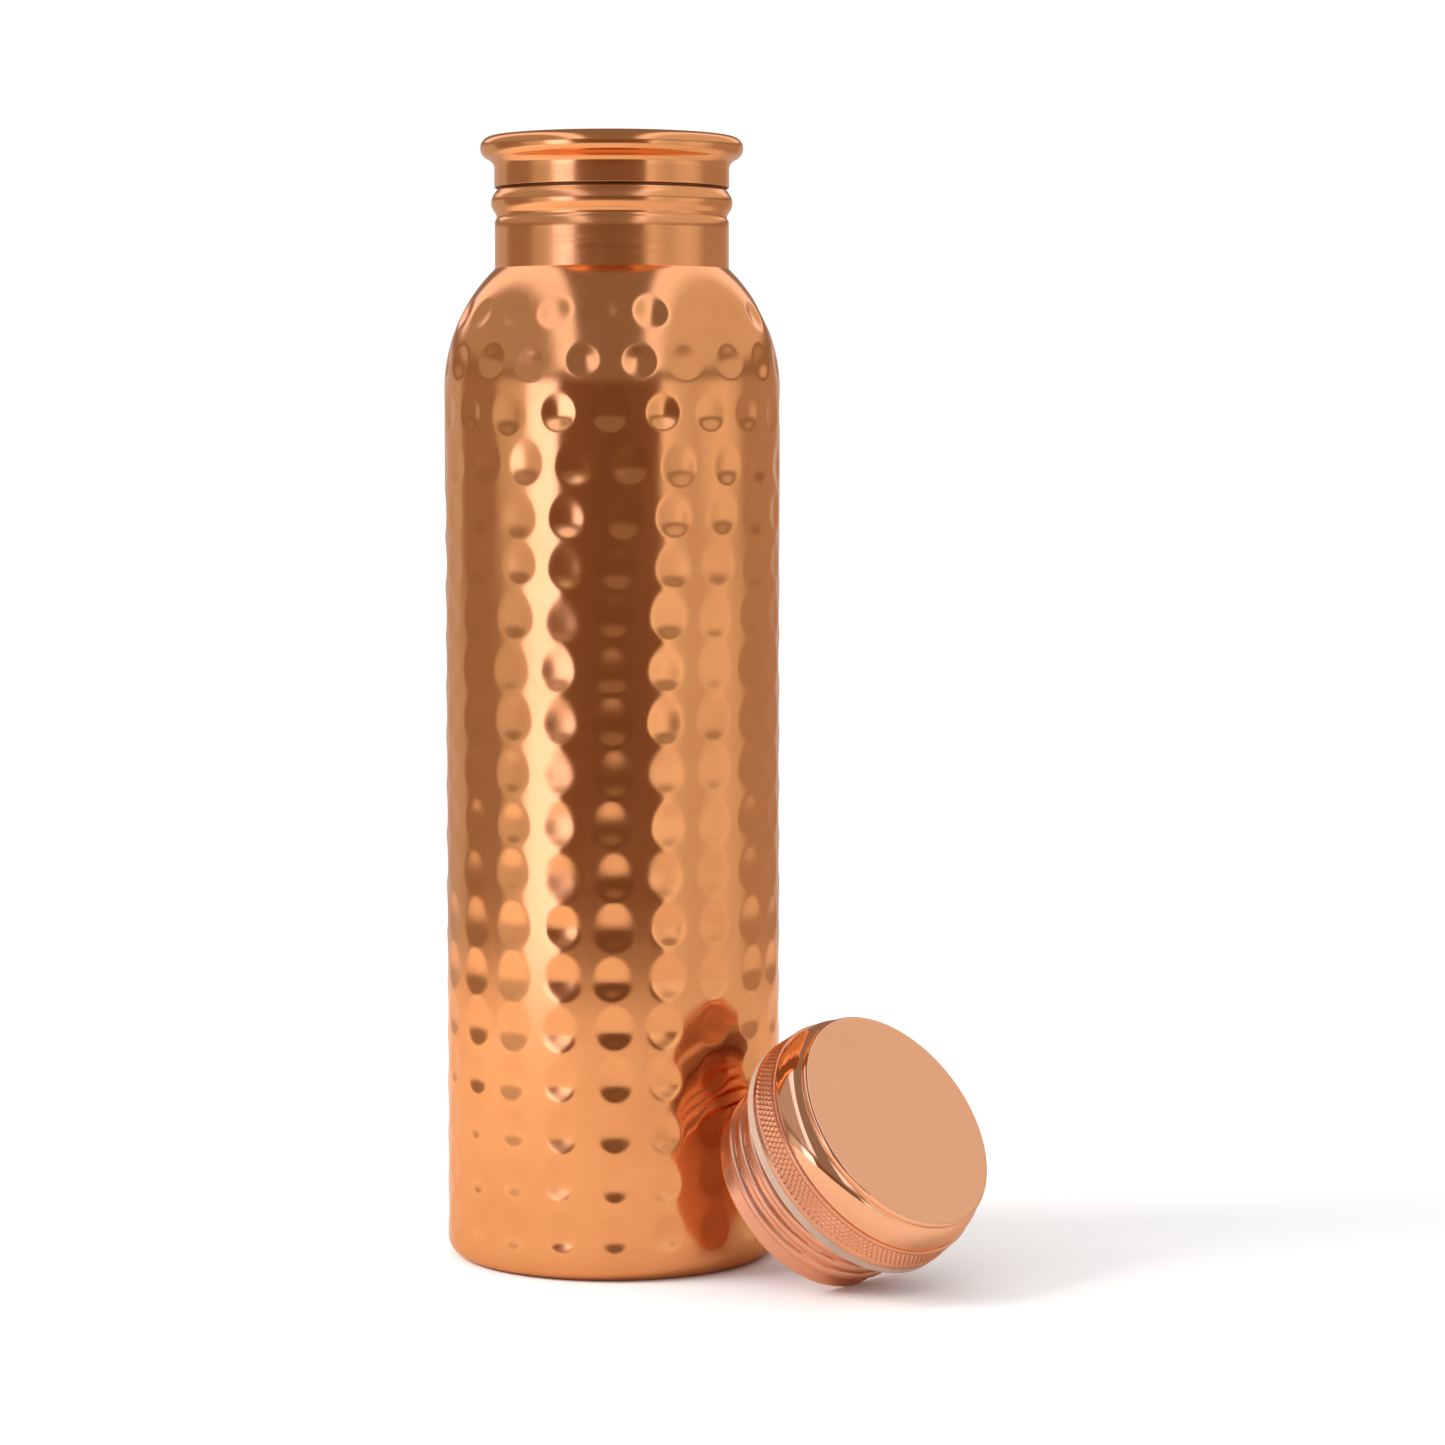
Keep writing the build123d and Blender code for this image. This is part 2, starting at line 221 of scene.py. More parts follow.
def ease(corner, before, after, size, steps=5):
    """A small round in place of a corner between two neighbouring points."""
    def toward(point):
        run = sqrt((point[0] - corner[0]) ** 2 + (point[1] - corner[1]) ** 2)
        return tuple(corner[k] + (point[k] - corner[k]) * size / run for k in (0, 1))
    a, b = toward(before), toward(after)
    middle = tuple(0.5 * corner[k] + 0.25 * (a[k] + b[k]) for k in (0, 1))
    return bow(a, middle, b, steps)


def soften(corners, steps):
    """Closed outline through corners given as (radius, height, round), each round eased."""
    count = len(corners)
    points = []
    for i, (r, z, size) in enumerate(corners):
        points += ease((r, z), corners[i - 1][:2], corners[(i + 1) % count][:2], size, steps)
    return points


def joined(*runs):
    """Runs of points end to end, without the doubled points where they meet."""
    points = []
    for run in runs:
        for point in run:
            near = points and abs(point[0] - points[-1][0]) + abs(point[1] - points[-1][1]) < 1e-7
            if not near:
                points.append(point)
    if abs(points[0][0] - points[-1][0]) + abs(points[0][1] - points[-1][1]) < 1e-7:
        points.pop()
    return points


# ---------------------------------------------------------------- meshes


def mesh_object(name, points, faces, sharp=40.0):
    """A smooth-shaded object from points and faces, with edges over the sharp angle kept crisp."""
    mesh = bpy.data.meshes.new(name)
    mesh.from_pydata(points, [], faces)
    bm = bmesh.new()
    bm.from_mesh(mesh)
    bmesh.ops.remove_doubles(bm, verts=bm.verts, dist=1e-7)
    loose = [edge for edge in bm.edges if not edge.link_faces]
    bmesh.ops.delete(bm, geom=loose, context="EDGES")
    bmesh.ops.recalc_face_normals(bm, faces=bm.faces)
    bm.to_mesh(mesh)
    bm.free()
    mesh.polygons.foreach_set("use_smooth", [True] * len(mesh.polygons))
    mesh.set_sharp_from_angle(angle=radians(sharp))
    mesh.update()
    piece = bpy.data.objects.new(name, mesh)
    bpy.context.scene.collection.objects.link(piece)
    return piece


def lathe(name, outline, columns, closed=True, shape=None, sharp=40.0):
    """Turn an outline of (radius, height) points once round Z.

    shape, where given, takes the angles, radii and heights and returns the radii and heights that
    replace the last two.
    """
    rows = len(outline)
    r = np.array([p[0] for p in outline])[:, None] * np.ones((1, columns))
    z = np.array([p[1] for p in outline])[:, None] * np.ones((1, columns))
    turn = np.linspace(0.0, tau, columns, endpoint=False)[None, :] * np.ones((rows, 1))
    if shape:
        r, z = shape(turn, r, z)
    points = np.stack([r * np.cos(turn), r * np.sin(turn), z], axis=-1).reshape(-1, 3)
    number = np.arange(rows * columns).reshape(rows, columns)
    ring = np.roll(number, -1, axis=1)
    if closed:
        upper, upper_ring = np.roll(number, -1, axis=0), np.roll(ring, -1, axis=0)
    else:
        number, ring, upper, upper_ring = number[:-1], ring[:-1], number[1:], ring[1:]
    faces = np.stack([number, ring, upper_ring, upper], axis=-1).reshape(-1, 4)
    return mesh_object(name, points.tolist(), faces.tolist(), sharp)


def finish_piece(piece, body, slot, material, *nodes, place=None):
    """Give a piece its material, lay it in its place and fix it to its body."""
    piece.data.materials.append(material)
    if place is not None:
        piece.data.transform(place)
    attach(piece, body)
    if nodes:
        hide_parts(*nodes)


# ---------------------------------------------------------------- hammer dents


class Dents:
    """Where the hammer fell: rows up the wall and over onto the shoulder, a little uneven."""

    def __init__(self, settings):
        rng = random.Random(settings.seed)
        shoulder = BODY_RADIUS * acos(NECK_RADIUS / BODY_RADIUS)
        run = STRAIGHT_TOP + shoulder - settings.dent_bare_top - settings.dent_first
        self.settings = settings
        self.rows = int(run / settings.dent_pitch) + 1
        self.step = tau / settings.dent_columns
        self.marks = []
        for row in range(self.rows):
            from_top = self.rows - 1 - row
            drift = self.step * float(self.row_drift(from_top))
            share = row / (self.rows - 1)
            size = DENT_LOW_SIZE + (1 - DENT_LOW_SIZE) * min(1.0, share / DENT_GROWN_AT)
            high = max(0.0, 1 - from_top / DENT_TOP_ROWS)
            drawn_up = 1 + (DENT_DRAWN_UP - 1) * (1 - high)
            for column in range(settings.dent_columns):
                along = settings.dent_first + row * settings.dent_pitch + rng.gauss(0, settings.dent_wander)
                around = column * self.step + drift + rng.gauss(0, settings.dent_wander) / BODY_RADIUS
                around -= pi / 2
                depth = settings.dent_depth * size * rng.uniform(*DENT_DEPTH_SPREAD)
                depth *= 1 + DENT_TOP_DEEPER * high
                wide = settings.dent_width / 2 * size * rng.uniform(*DENT_WIDTH_SPREAD)
                wide *= 1 - DENT_TOP_SMALLER * high
                tall = wide * rng.uniform(*DENT_HEIGHT_SPREAD)
                self.marks.append((along, around % tau, depth, wide, tall, tall * drawn_up))

    @staticmethod
    def row_drift(from_top):
        """How far a row is turned, as a share of the spacing: the top rows were started askew."""
        return np.interp(from_top, range(len(ROW_DRIFTS)), ROW_DRIFTS)

    def flats(self, runs, turns):
        """Depth of the flats that the blows leave between the columns, the dents being on the corners."""
        from_top = self.rows - 1 - (runs - self.settings.dent_first) / self.settings.dent_pitch
        grown = np.clip((from_top - FLATS_BARE_ROWS) / FLATS_GROWING_ROWS, 0, 1)
        grown = grown * np.clip((runs - FLATS_FOOT) / FLATS_FOOT_FADE, 0, 1)
        grown = grown * grown * (3 - 2 * grown)
        drift = self.step * self.row_drift(from_top)
        wave = 0.5 - 0.5 * np.cos(self.settings.dent_columns * (turns[None, :] + pi / 2 - drift[:, None]))
        return self.settings.flat_depth * grown[:, None] * wave

    def depth_at(self, along, around, radius):
        """Depth of the hammered surface under arrays of runs up the wall and turns round it."""
        runs, turns = along[:, 0], around[0, :]
        depth = np.where(along >= 0, self.flats(runs, turns), 0.0)
        for mark_along, mark_around, deep, wide, below, above in self.marks:
            reach = np.where(runs > mark_along, above, below)
            rows = np.nonzero(np.abs(runs - mark_along) < reach)[0]
            if not len(rows):
                continue
            near = radius[rows, 0].mean()
            gap = (turns - mark_around + pi) % tau - pi
            columns = np.nonzero(np.abs(gap) * near < wide)[0]
            patch = np.ix_(rows, columns)
            q = ((runs[rows] - mark_along) / reach[rows])[:, None] ** 2
            q = q + (gap[columns] * near / wide)[None, :] ** 2
            depth[patch] += deep * np.clip(1 - q, 0, 1) ** DENT_SOFTNESS
        return depth


def body_runs(fine, coarse):
    """Outline of the body as (radius, height, run up the wall, way out, way up) rows."""
    bore = BODY_RADIUS - BODY_WALL
    stand_outer = BODY_RADIUS - FOOT_ROUND
    stand_inner = FOOT_BORE + FOOT_INNER_ROUND
    fold_bore = FOOT_BORE + BODY_WALL
    rows = []

    def plain(points):
        rows.extend((r, z, -1.0, 1.0, 0.0) for r, z in points)

    def hammered(points, ball):
        for r, z in points:
            lean = max(0.0, asin(min(1.0, max(0.0, (z - STRAIGHT_TOP) / ball))))
            run = min(z, STRAIGHT_TOP) + BODY_RADIUS * lean
            rows.append((r, z, run, cos(lean), sin(lean)))

    top = (0.0, STRAIGHT_TOP)
    top_outer = acos(NECK_RADIUS / BODY_RADIUS)
    top_inner = acos(NECK_RADIUS / bore)
    shoulder_steps = ceil(BODY_RADIUS * top_outer / fine)
    plain(straight((FOOT_BORE, FOOT_LIP_HEIGHT), (FOOT_BORE, FOOT_INNER_ROUND), coarse))
    plain(arc((stand_inner, FOOT_INNER_ROUND), FOOT_INNER_ROUND, 180, 270, 6)[1:])
    plain(arc((stand_outer, FOOT_ROUND), FOOT_ROUND, -90, 0, 14))
    hammered(straight((BODY_RADIUS, FOOT_ROUND), (BODY_RADIUS, STRAIGHT_TOP), fine)[1:], BODY_RADIUS)
    hammered(arc(top, BODY_RADIUS, 0, top_outer * 180 / pi, shoulder_steps)[1:], BODY_RADIUS)
    hammered(arc(top, bore, top_inner * 180 / pi, 0, 24), bore)
    hammered(straight((bore, STRAIGHT_TOP), (bore, FOOT_ROUND), coarse)[1:], bore)
    plain(arc((stand_outer, FOOT_ROUND), FOOT_ROUND - BODY_WALL, 0, -90, 8)[1:])
    plain(arc((stand_inner, FOOT_INNER_ROUND), FOOT_INNER_ROUND - BODY_WALL, 270, 180, 4))
    plain([(fold_bore, FOOT_LIP_HEIGHT)])
    return np.array(rows)


def hammered_body(settings):
    """The drawn body, with the dents showing through on the inside of its wall as well."""
    rows = body_runs(settings.fine_step, INSIDE_STEP)
    dents = Dents(settings)

    def hammer(turn, r, z):
        along = rows[:, 2][:, None] * np.ones_like(turn)
        depth = dents.depth_at(along, turn, r)
        return r - depth * rows[:, 3][:, None], z - depth * rows[:, 4][:, None]

    columns = int(tau * BODY_RADIUS / settings.fine_step)
    return lathe("hammered_body", [tuple(row[:2]) for row in rows], columns, shape=hammer, sharp=50)


# ---------------------------------------------------------------- bottle pieces


def base_pan():
    """Pressed pan inside the foot, dished a little and set in a soft bead of braze."""
    low, high = PAN_LOW[2], PAN_HIGH[2]
    floor = high - PAN_WALL
    lip = FOOT_BORE - PAN_WALL
    return joined(
        bow((0.0, floor + PAN_DISH), (lip * 0.55, floor + PAN_DISH * 0.7), (lip - PAN_FLAT_RIM, floor), 14),
        ease((lip, floor), (lip - PAN_FLAT_RIM, floor), (lip, low), PAN_INNER_ROUND),
        ease((lip, low), (lip, floor), (FOOT_BORE, low), PAN_EDGE_ROUND),
        ease((FOOT_BORE, low), (lip, low), (FOOT_BORE, high), PAN_EDGE_ROUND),
        ease((FOOT_BORE, high), (FOOT_BORE, low), (lip, high), PAN_EDGE_ROUND),
        bow((lip - PAN_FLAT_RIM, high), (lip * 0.55, high - PAN_DISH * 0.1), (0.0, high), 14),
    )


def neck_tube():
    """Smooth neck with its pressed notch and raised bead."""
    foot = NECK_LOW[2]
    notch = COLLAR_FOOT - NOTCH_BELOW_COLLAR
    bead = COLLAR_FOOT - BEAD_BELOW_COLLAR
    notch_bow = bow(
        (NECK_RADIUS, notch - NOTCH_HALF_WIDTH),
        (NECK_RADIUS - NOTCH_DEPTH, notch),
        (NECK_RADIUS, notch + NOTCH_HALF_WIDTH),
        12,
    )
    bead_bow = bow(
        (NECK_RADIUS, bead - BEAD_HALF_WIDTH),
        (NECK_RADIUS + BEAD_PROUD, bead),
        (NECK_RADIUS, bead + BEAD_HALF_WIDTH),
        16,
    )
    return joined(
        [(NECK_BORE, foot), (NECK_RADIUS, foot)],
        straight((NECK_RADIUS, foot), (NECK_RADIUS, notch - NOTCH_HALF_WIDTH), 0.002),
        notch_bow,
        bead_bow,
        [(NECK_RADIUS, bead + BEAD_HALF_WIDTH)],
        [(NECK_RADIUS - NECK_TOP_TAPER, COLLAR_FOOT), (NECK_BORE, COLLAR_FOOT)],
    )


def mouth_ring():
    """Collar, flare and round lip, with the seam groove at the foot of the collar, which the neck operator
    paints dark as shade.
    """
    collar = NECK_RADIUS + COLLAR_PROUD
    seam = COLLAR_FOOT + SEAM_HEIGHT
    seam_radius = collar - SEAM_DEPTH
    flare_foot = COLLAR_FOOT + COLLAR_HEIGHT
    lip_centre = (LIP_RADIUS - LIP_ROUND, LIP_TOP - LIP_ROUND)
    inner_round = lip_centre[0] - NECK_BORE
    lip = arc(lip_centre, LIP_ROUND, FLARE_END_ANGLE, 90, 36)
    middle = (collar + 0.3 * (lip[0][0] - collar), flare_foot + 0.55 * (lip[0][1] - flare_foot))
    return joined(
        [(NECK_BORE, COLLAR_FOOT), (seam_radius, COLLAR_FOOT), (seam_radius, seam)],
        ease((collar, seam), (seam_radius, seam), (collar, flare_foot), SEAM_EDGE_ROUND),
        straight((collar, seam + 0.0003), (collar, flare_foot), 0.001),
        bow((collar, flare_foot), middle, lip[0], 14),
        lip,
        arc((lip_centre[0], LIP_TOP - inner_round), inner_round, 90, 180, 12),
        straight((NECK_BORE, LIP_TOP - inner_round), (NECK_BORE, COLLAR_FOOT), 0.003),
    )


def thread_wave(turn, z, start, turns, wire_round):
    """How far a rolled thread stands out from its wall at each turn and height."""
    phase = (z - start) / THREAD_PITCH - turn / tau
    nearest = np.round(phase)
    lap = nearest + turn / tau
    gap = (phase - nearest) * THREAD_PITCH
    rise = np.sqrt(np.clip(wire_round**2 - gap**2, 0, None)) - (wire_round - THREAD_DEPTH)
    fade = np.clip(lap / THREAD_FADE_TURNS, 0, 1) * np.clip((turns - lap) / THREAD_FADE_TURNS, 0, 1)
    soft = 0.5 * (rise + np.sqrt(rise**2 + THREAD_FOOT_EASE))
    return soft * fade * fade * (3 - 2 * fade)


def thread_sleeve():
    """Sleeve with the female thread, as an outline and the wave that cuts it."""
    bore = PLUG_RADIUS + THREAD_GAP
    groove = THREAD_ROUND + THREAD_GAP
    low, high = SLEEVE_LOW[2], SLEEVE_HIGH[2]
    outline = joined(
        straight((bore, high - SLEEVE_EDGE_ROUND), (bore, low + SLEEVE_EDGE_ROUND), 0.00022),
        ease((bore, low), (bore, high), (NECK_BORE, low), SLEEVE_EDGE_ROUND),
        [(NECK_BORE, low), (NECK_BORE, high)],
        ease((bore, high), (NECK_BORE, high), (bore, low), SLEEVE_EDGE_ROUND),
    )

    def cut(turn, r, z):
        inside = r < bore + 0.00005
        wave = thread_wave(turn, z, low + SLEEVE_LAND + groove, SLEEVE_THREAD_TURNS, groove)
        return r + np.where(inside, wave, 0.0), z

    return outline, cut


# ---------------------------------------------------------------- cap pieces, drawn upright


def cap_cover():
    """Flat mirror top, round rim, pinched waist and bulged band, with the hidden skirt below."""
    pinch_radius = BAND_RADIUS - PINCH_SETBACK - COVER_INSET
    rim_radius = pinch_radius + RIM_PROUD
    pinch = CAP_TOP - RIM_HEIGHT
    rim_round = RIM_HEIGHT / 2
    rim_centre = (rim_radius - rim_round, CAP_TOP - rim_round)
    crown_bore = pinch_radius - COVER_WALL
    bore_top = CAP_TOP - COVER_WALL
    band_edge = 0.00015
    bulge = bow(
        (BAND_RADIUS - 0.0001, KNURL_TOP + band_edge + 0.0003),
        (BAND_RADIUS - 0.0007, KNURL_TOP + 0.0036),
        (pinch_radius + 0.00015, pinch - 0.0001),
        26,
    )
    return joined(
        [(SKIRT_BORE, WEB_TOP), (SKIRT_RADIUS, WEB_TOP), (SKIRT_RADIUS, KNURL_TOP)],
        arc((BAND_RADIUS - band_edge, KNURL_TOP + band_edge), band_edge, -90, 0, 8),
        bulge,
        bow((pinch_radius + 0.00015, pinch - 0.0001), (pinch_radius + 0.00002, pinch + 0.0001),
            (pinch_radius + 0.0002, pinch + 0.0003), 5),
        arc(rim_centre, rim_round, -40, 62, 14),
        bow((rim_centre[0] + rim_round * cos(radians(62)), rim_centre[1] + rim_round * sin(radians(62))),
            (rim_centre[0] - 0.0001, CAP_TOP - 0.00004), (rim_centre[0] - 0.0012, CAP_TOP), 8),
        straight((rim_centre[0] - 0.0012, CAP_TOP), (0.0, CAP_TOP), 0.003),
        [(0.0, bore_top), (crown_bore, bore_top), (crown_bore, pinch)],
        [(SKIRT_BORE, KNURL_TOP + 0.0028)],
    )


def knurl_shape(count, rows, depth):
    """Wave that raises a fine diamond knurl between the plain margins of the ring."""
    pitch = (KNURL_HIGH - KNURL_LOW) / rows
    fade_height = KNURL_FADE_ROWS * pitch

    def raise_diamonds(turn, r, z):
        u = turn * count / tau
        v = (z - KNURL_LOW) / pitch
        across = np.abs(2 * ((u + v / 2) % 1.0) - 1)
        back = np.abs(2 * ((u - v / 2) % 1.0) - 1)
        cut = np.clip(np.maximum(across, back) * KNURL_SHARPNESS - (KNURL_SHARPNESS - 1), 0, 1)
        fade = np.clip((z - KNURL_LOW) / fade_height, 0, 1) * np.clip((KNURL_HIGH - z) / fade_height, 0, 1)
        outside = r > KNURL_RADIUS - KNURL_INSET - KNURL_TAPER - KNURL_CHAMFER
        return r - np.where(outside, depth * cut * fade, 0.0), z

    return raise_diamonds


def knurled_ring(rows, steps_per_row):
    """The ring that the fingers grip, wider at the gasket, with a web inside."""
    top_radius = KNURL_RADIUS - KNURL_TAPER
    low, high = KNURL_LOW, KNURL_HIGH
    steps = rows * steps_per_row
    heights = [low + (high - low) * i / steps for i in range(steps + 1)]

    def wall(z):
        return KNURL_RADIUS - KNURL_INSET - KNURL_TAPER * (z - KNURL_FOOT) / KNURL_HEIGHT

    return joined(
        [(PLUG_RADIUS, KNURL_FOOT)],
        ease((wall(KNURL_FOOT), KNURL_FOOT), (PLUG_RADIUS, KNURL_FOOT), (wall(low), low), KNURL_CHAMFER),
        [(wall(low - KNURL_PLAIN_STEP), low - KNURL_PLAIN_STEP)],
        [(wall(height), height) for height in heights],
        [(wall(high + KNURL_PLAIN_STEP), high + KNURL_PLAIN_STEP)],
        ease((top_radius, KNURL_TOP), (wall(high), high), (SKIRT_RADIUS, KNURL_TOP), KNURL_CHAMFER),
        [(SKIRT_RADIUS, KNURL_TOP), (SKIRT_RADIUS, WEB_TOP), (PLUG_RADIUS, WEB_TOP)],
    )


def gasket():
    """Soft washer with rounded rims."""
    outer = KNURL_RADIUS - GASKET_INSET
    inner = PLUG_RADIUS + GASKET_GAP
    return soften([
        (inner, PLUG_LENGTH, 0.0003),
        (outer, PLUG_LENGTH, 0.00045),
        (outer, KNURL_FOOT, 0.00025),
        (inner, KNURL_FOOT, 0.0003),
    ], steps=8)


def plug():
    """Hollow plug with its closed end, rolled thread and hidden flange."""
    bore = PLUG_RADIUS - PLUG_WALL
    flange_top = WEB_TOP + PLUG_FLANGE
    round_end = PLUG_END_ROUND
    outline = joined(
        bow((0.0, 0.00025), (PLUG_RADIUS * 0.6, 0.00018), (PLUG_RADIUS - 0.0030, 0.0), 12),
        [(PLUG_RADIUS - round_end, 0.0)],
        arc((PLUG_RADIUS - round_end, round_end), round_end, -90, 0, 10),
        straight((PLUG_RADIUS, round_end), (PLUG_RADIUS, PLUG_LENGTH + 0.0003), 0.00016),
        [(PLUG_RADIUS, WEB_TOP), (SKIRT_BORE, WEB_TOP), (SKIRT_BORE, flange_top), (bore, flange_top)],
        [(bore, PLUG_WALL), (0.0, PLUG_WALL)],
    )

    def roll(turn, r, z):
        outside = (r > PLUG_RADIUS - 0.00001) & (z < PLUG_LENGTH) & (z > round_end)
        wave = thread_wave(turn, z, PLUG_THREAD_START, PLUG_THREAD_TURNS, THREAD_ROUND)
        return r + np.where(outside, wave, 0.0), z

    return outline, roll


# ---------------------------------------------------------------- materials

# How fine each kind of wear is, in waves over a metre.
CLOUD_SCALE = 45.0
RUBBED_SCALE = 160.0
SPECK_SCALE = 420.0
SCRATCH_SCALE = 900.0
BRUSHED_SCALE = 1100.0
PITTED_SCALE = 2600.0
COPPER_BUMP = 0.00002
COPPER_EDGE_TINT = (1.0, 0.82, 0.68, 1.0)
RUBBER_BUMP = 0.00004


class Nodes:
    """Short calls for building one node tree."""

    def __init__(self, tree):
        self.tree = tree

    def add(self, kind, inputs=None, **settings):
        """A node with its settings, and its inputs given as values or as sockets to link."""
        node = self.tree.nodes.new(kind)
        for key, value in settings.items():
            setattr(node, key, value)
        for key, value in (inputs or {}).items():
            if isinstance(value, bpy.types.NodeSocket):
                self.tree.links.new(value, node.inputs[key])
            else:
                node.inputs[key].default_value = value
        return node

    def math(self, operation, a, b=0.0, c=0.0, clamp=False):
        """One Math node."""
        return self.add("ShaderNodeMath", {0: a, 1: b, 2: c}, operation=operation, use_clamp=clamp).outputs[0]

    def noise(self, place, scale, detail=3.0, roughness=0.55, stretch=None):
        """Noise over the piece, optionally drawn out along an axis."""
        if stretch:
            place = self.add("ShaderNodeMapping", {"Vector": place, "Scale": stretch}).outputs[0]
        inputs = {"Vector": place, "Scale": scale, "Detail": detail, "Roughness": roughness}
        return self.add("ShaderNodeTexNoise", inputs).outputs["Fac"]

    def spread(self, value, low, high, to_low, to_high):
        """Remap a value smoothly and clamp it."""
        inputs = {"Value": value, "From Min": low, "From Max": high, "To Min": to_low, "To Max": to_high}
        return self.add("ShaderNodeMapRange", inputs, interpolation_type="SMOOTHSTEP").outputs[0]

    def blend(self, factor, a, b):
        """Mix two colours."""
        node = self.add("ShaderNodeMix", {"Factor": factor}, data_type="RGBA")
        for key, value in ((6, a), (7, b)):
            if isinstance(value, bpy.types.NodeSocket):
                self.tree.links.new(value, node.inputs[key])
            else:
                node.inputs[key].default_value = value
        return node.outputs[2]


def shade(colour, gain, warm=1.0):
    """A darker or lighter copper colour; warm below one moves it towards brown."""
    gains = (gain, gain * warm, gain * warm * warm)
    return (*(min(1, part * by) for part, by in zip(colour, gains)), 1)


def new_material(name, laid=None):
    """Node material with its Principled shader and the place on the piece as it was drawn upright."""
    material = bpy.data.materials.new(name)
    material.use_nodes = True
    nodes = Nodes(material.node_tree)
    shader = material.node_tree.nodes["Principled BSDF"]
    place = nodes.add("ShaderNodeTexCoord").outputs["Object"]
    if laid is not None:
        inputs = {"Vector": place, "Location": laid.to_translation(), "Rotation": laid.to_euler()}
        place = nodes.add("ShaderNodeMapping", inputs, vector_type="TEXTURE").outputs[0]
    return material, nodes, shader, place


def wired(material, shader, looks):
    """The material, with what each of its looks comes from joined to the shader."""
    for key, socket in looks.items():
        material.node_tree.links.new(socket, shader.inputs[key])
    return material


def copper(name, colour, rough, tarnish=0.25, lines=0.0, scratches=0.4, worn=0.3, grain=0.0, hollow_shade=0.0,
           laid=None):
    """Polished copper: faint tarnish clouds, hand scratches, brushing lines, brighter worn edges and painted
    shade in its hollows.
    """
    material, nodes, shader, place = new_material(name, laid)
    clouds = nodes.noise(place, CLOUD_SCALE, 5.0, 0.6)
    specks = nodes.noise(place, SPECK_SCALE, 3.0, 0.6)
    fine = nodes.noise(place, SCRATCH_SCALE, 2.0, 0.5, (1.0, 1.0, 14.0))
    rubbed = nodes.noise(place, RUBBED_SCALE, 4.0, 0.65, (1.0, 1.0, 0.25))
    edges = nodes.add("ShaderNodeNewGeometry").outputs["Pointiness"]
    edge = nodes.spread(edges, 0.52, 0.60, 0.0, worn)
    dark = nodes.math("MULTIPLY", nodes.spread(clouds, 0.42, 0.72, 0.0, 1.0), tarnish)
    speckled = nodes.math("MULTIPLY", nodes.spread(specks, 0.62, 0.80, 0.0, 0.5), tarnish)
    dark = nodes.math("ADD", dark, speckled)
    base = nodes.blend(dark, shade(colour, 1.0), shade(colour, 0.72, 0.88))
    base = nodes.blend(edge, base, shade(colour, 1.08, 1.06))
    # Painted shade: where the surface curves inward, the copper is darkened to brown, standing in for the
    # shade that falls in its hollows.
    base = nodes.blend(nodes.spread(edges, 0.40, 0.49, hollow_shade, 0.0), base, shade(colour, 0.35, 0.8))
    roughness = nodes.math("ADD", nodes.spread(clouds, 0.30, 0.75, rough * 0.8, rough * 1.35),
                           nodes.spread(rubbed, 0.50, 0.80, 0.0, rough * 0.5))
    height = nodes.math("MULTIPLY", nodes.spread(fine, 0.55, 0.80, 0.0, 1.0), 0.25 * scratches)
    worn_down = nodes.math("MULTIPLY", nodes.spread(rubbed, 0.3, 0.8, 0.0, 1.0), 0.35 * scratches)
    height = nodes.math("ADD", height, worn_down)
    if lines:
        brushed = nodes.noise(place, BRUSHED_SCALE, 2.0, 0.6, (0.02, 0.02, 1.0))
        height = nodes.math("ADD", height, nodes.math("MULTIPLY", brushed, lines))
        roughness = nodes.math("ADD", roughness, nodes.math("MULTIPLY", brushed, 0.10 * lines))
    if grain:
        pitted = nodes.noise(place, PITTED_SCALE, 2.0, 0.7)
        height = nodes.math("ADD", height, nodes.math("MULTIPLY", pitted, grain))
    bump = nodes.add("ShaderNodeBump", {"Strength": 0.35, "Distance": COPPER_BUMP, "Height": height})
    shader.inputs["Metallic"].default_value = 1.0
    shader.inputs["Specular Tint"].default_value = COPPER_EDGE_TINT
    return wired(material, shader, {"Base Color": base, "Roughness": roughness, "Normal": bump.outputs[0]})


def silicone(name, colour, laid=None):
    """Greyish see-through rubber with a dusty bloom."""
    material, nodes, shader, place = new_material(name, laid)
    clouds = nodes.noise(place, 120.0, 4.0, 0.6)
    dust = nodes.noise(place, 1500.0, 3.0, 0.7)
    base = nodes.blend(nodes.spread(clouds, 0.35, 0.7, 0.0, 0.5), shade(colour, 1.0), shade(colour, 0.82))
    base = nodes.blend(nodes.spread(dust, 0.60, 0.75, 0.0, 0.35), base, shade(colour, 1.25))
    roughness = nodes.spread(dust, 0.3, 0.8, 0.38, 0.58)
    bump = nodes.add("ShaderNodeBump", {"Strength": 0.25, "Distance": RUBBER_BUMP, "Height": dust})
    shader.inputs["Subsurface Weight"].default_value = 0.35
    shader.inputs["Subsurface Radius"].default_value = (1.0, 0.7, 0.5)
    shader.inputs["Subsurface Scale"].default_value = 0.0015
    return wired(material, shader, {"Base Color": base, "Roughness": roughness, "Normal": bump.outputs[0]})


